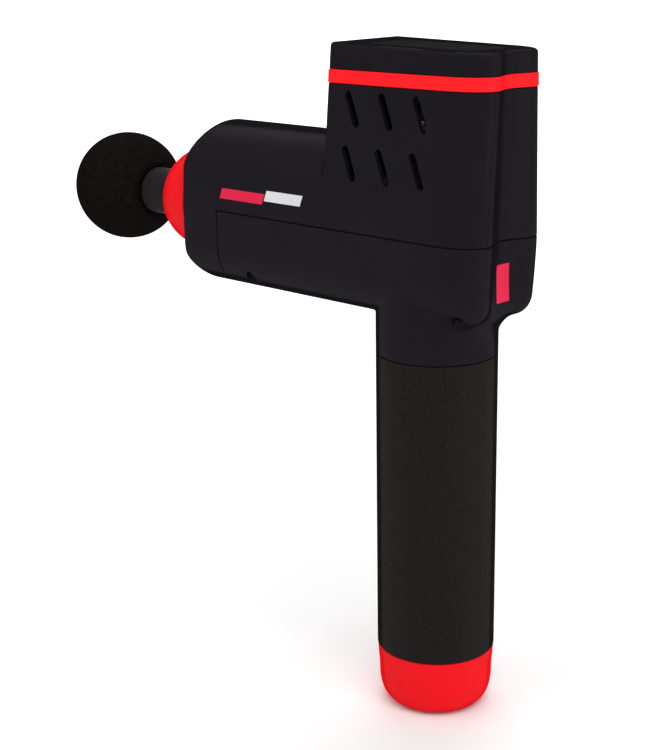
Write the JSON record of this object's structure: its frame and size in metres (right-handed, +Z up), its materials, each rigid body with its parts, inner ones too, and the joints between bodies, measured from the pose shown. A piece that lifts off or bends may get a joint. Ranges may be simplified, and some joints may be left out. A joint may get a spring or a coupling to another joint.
{
  "type": "massage gun",
  "caption": "Pistol-style percussion massage gun: straight battery grip, horizontal barrel with a red nose and foam ball head, vented motor tower with a red band.",
  "frame": {"origin": "centre of the flat base under the end cap, on the grip's axis", "axes": "+Z up along the grip, -X the way the massage head points, +Y across the body, about which the outer form is symmetric"},
  "size_m": [0.2414, 0.0476, 0.26],
  "materials": {
    "body_black": "soft-touch matte",
    "accent_red": "satin",
    "panel_gloss": "gloss",
    "circuit_board": "solder mask",
    "display_white": "diffuse",
    "felt": "felt",
    "bush_polymer": "moulded",
    "inner_plastic": "moulded",
    "screw_steel": "black oxide",
    "cast_alloy": "machined",
    "bearing_steel": "ground",
    "lamination_steel": "raw",
    "copper": "enamelled wire",
    "component_black": "moulded",
    "grip_rubber": "fine grain",
    "cell_wrap": "shrink wrap",
    "nickel": "plain",
    "foam_pad": "foam",
    "switch_black": "moulded",
    "jack_metal": "plated",
    "bell_alloy": "anodised",
    "magnet": "nickel plated",
    "fan_plastic": "moulded",
    "stem_grey": "satin",
    "ring_rubber": "moulded",
    "foam_black": "closed-cell foam",
    "rocker_red": "gloss"
  },
  "bodies": {
    "housing": {"upper_housing": "body_black", "lower_housing": "body_black", "top_cap": "body_black", "accent_band": "accent_red", "top_panel": "panel_gloss", "display_board": "circuit_board", "display_module": "display_white", "nose_ring": "accent_red", "nose_seal": "felt", "front_bush": "bush_polymer", "rear_bush": "bush_polymer", "bush_bracket": "inner_plastic", "housing_screws": "screw_steel", "motor_mount": "cast_alloy", "mount_screws": "screw_steel", "motor_bearings": "bearing_steel", "motor_stator": "lamination_steel", "motor_windings": "copper", "controller_board": "circuit_board", "board_components": "component_black", "board_screws": "screw_steel", "grip_tube": "inner_plastic", "grip_sleeve": "grip_rubber", "battery_cells": "cell_wrap", "cell_holders": "inner_plastic", "cell_strips": "nickel", "pack_board": "circuit_board", "pack_spacer": "foam_pad", "end_cap": "accent_red", "switch_body": "switch_black", "charging_jack": "jack_metal"},
    "rotor": {"rotor_bell": "bell_alloy", "rotor_magnets": "magnet", "motor_shaft": "bearing_steel", "cooling_fan": "fan_plastic", "crank_disc": "lamination_steel", "crank_pin": "bearing_steel", "pin_bearing": "bearing_steel"},
    "ram": {"yoke": "cast_alloy", "output_shaft": "cast_alloy"},
    "head": {"head_stem": "stem_grey", "head_rings": "ring_rubber", "head_ball": "foam_black"},
    "rocker": {"rocker": "rocker_red"}
  },
  "joints": [
    {"name": "head_stroke", "type": "slide", "parent": "housing", "child": "ram", "axis": [-1, 0, 0], "range_m": [-0.006, 0.006]},
    {"name": "crank_turn", "type": "hinge", "parent": "housing", "child": "rotor", "pos_m": [0, 0, 0.19], "axis": [0, 0, 1], "range_deg": [-90.5, 90.5]},
    {"name": "head_release", "type": "slide", "parent": "ram", "child": "head", "axis": [-1, 0, 0], "range_m": [0, 0.032]},
    {"name": "power_rocker", "type": "hinge", "parent": "housing", "child": "rocker", "pos_m": [0.007, 0, 0.0046], "axis": [1, 0, 0], "range_deg": [0, 16]}
  ],
  "couplings": [
    {"joint": "crank_turn", "follows": "head_stroke", "rad_per_m": 261.8}
  ]
}
